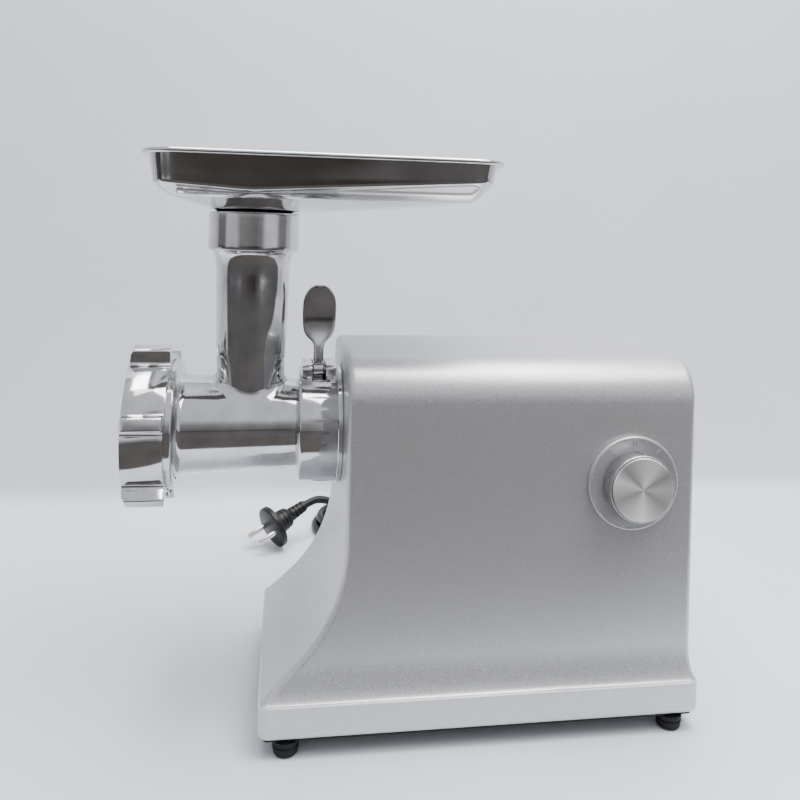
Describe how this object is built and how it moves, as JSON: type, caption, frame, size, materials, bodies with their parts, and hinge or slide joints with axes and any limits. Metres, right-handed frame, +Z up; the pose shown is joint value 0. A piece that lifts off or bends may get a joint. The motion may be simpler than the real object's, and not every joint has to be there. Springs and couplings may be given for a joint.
{
  "type": "electric meat grinder",
  "caption": "Electric meat grinder: silver motor housing on feet, screw head with ring nut and hopper tray, lock lever, control knob and mains lead.",
  "frame": {"origin": "middle of the machine's footprint box, on the surface it stands on, without its mains lead", "axes": "+X from the ring nut to the back of the motor housing, +Y away from the control knob, +Z up"},
  "size_m": [0.4055, 0.3919, 0.3375],
  "materials": {
    "silver_paint": "satin metallic silver paint",
    "polished_metal": "mirror-polished cast metal",
    "stainless": "polished stainless sheet",
    "brushed_cap": "spun, radially brushed",
    "tool_steel": "ground steel",
    "auger_casting": "cast and tumbled",
    "machined_steel": "machined",
    "black_plastic": "moulded",
    "black_rubber": "moulded",
    "cord_black": "extruded and moulded sheath",
    "pin_metal": "nickel plated",
    "gear_plastic": "moulded nylon",
    "copper": "bare copper",
    "bronze": "sintered bronze"
  },
  "bodies": {
    "housing": {"housing_shell": "silver_paint", "front_panel": "silver_paint", "base_plinth": "silver_paint", "base_plate": "black_plastic", "foot_front_near": "black_rubber", "foot_front_far": "black_rubber", "foot_rear_near": "black_rubber", "foot_rear_far": "black_rubber", "dial_ring": "silver_paint", "rotary_switch": "black_plastic", "mating_sleeve": "polished_metal", "sleeve_collar": "polished_metal", "lever_pin": "machined_steel", "gearbox_case": "gear_plastic", "gearbox_cover": "machined_steel", "output_bearing": "machined_steel", "idler_pin": "machined_steel", "motor_stator": "machined_steel", "field_coil_upper": "copper", "field_coil_lower": "copper", "front_bracket": "machined_steel", "rear_bracket": "machined_steel", "front_bearing": "machined_steel", "rear_bearing": "machined_steel", "brush_holder_near": "bronze", "brush_holder_far": "bronze", "cord_gland": "cord_black", "cord_lead": "cord_black", "cord_coil": "cord_black", "cord_tail": "cord_black", "plug_body": "cord_black", "plug_pin_a": "pin_metal", "plug_pin_b": "pin_metal"},
    "head": {"grinder_head": "polished_metal", "plate_key": "tool_steel", "head_bush": "bronze", "cutting_plate": "tool_steel"},
    "auger": {"auger": "auger_casting", "knife": "tool_steel"},
    "ring": {"ring_nut": "polished_metal"},
    "tray": {"hopper_tray": "stainless"},
    "knob": {"control_knob": "silver_paint", "knob_cap": "brushed_cap", "knob_spindle": "machined_steel"},
    "lever": {"lock_lever": "polished_metal"},
    "output": {"output_shaft": "machined_steel", "output_gear": "gear_plastic"},
    "idler": {"idler_gear": "machined_steel"},
    "rotor": {"rotor_shaft": "machined_steel", "armature": "machined_steel", "commutator": "copper", "cooling_fan": "gear_plastic"}
  },
  "joints": [
    {"name": "head_slide", "type": "slide", "parent": "housing", "child": "head", "axis": [-1, 0, 0], "range_m": [0, 0.06]},
    {"name": "tray_lift", "type": "slide", "parent": "head", "child": "tray", "axis": [0, 0, 1], "range_m": [0, 0.04]},
    {"name": "ring_nut_turn", "type": "hinge", "parent": "head", "child": "ring", "pos_m": [-0.15905, 0.0042, 0.169], "axis": [-1, 0, 0], "range_deg": [0, 1440]},
    {"name": "lever_swing", "type": "hinge", "parent": "housing", "child": "lever", "pos_m": [-0.05725, 0.0042, 0.2034], "axis": [1, 0, 0], "range_deg": [0, 75]},
    {"name": "knob_turn", "type": "hinge", "parent": "housing", "child": "knob", "pos_m": [0.12865, -0.0708, 0.1481], "axis": [0, -1, 0], "range_deg": [-45, 45]},
    {"name": "motor_spin", "type": "hinge", "parent": "housing", "child": "rotor", "pos_m": [0.06095, 0.0042, 0.09675], "axis": [1, 0, 0], "continuous": true},
    {"name": "idler_spin", "type": "hinge", "parent": "housing", "child": "idler", "pos_m": [-0.01905, 0.0042, 0.12455], "axis": [1, 0, 0], "continuous": true},
    {"name": "output_spin", "type": "hinge", "parent": "housing", "child": "output", "pos_m": [-0.01905, 0.0042, 0.169], "axis": [1, 0, 0], "continuous": true},
    {"name": "auger_spin", "type": "hinge", "parent": "head", "child": "auger", "pos_m": [-0.08905, 0.0042, 0.169], "axis": [1, 0, 0], "continuous": true}
  ],
  "couplings": [
    {"joint": "idler_spin", "follows": "motor_spin", "ratio": -0.20833},
    {"joint": "output_spin", "follows": "motor_spin", "ratio": 0.044643},
    {"joint": "auger_spin", "follows": "motor_spin", "ratio": 0.044643}
  ]
}
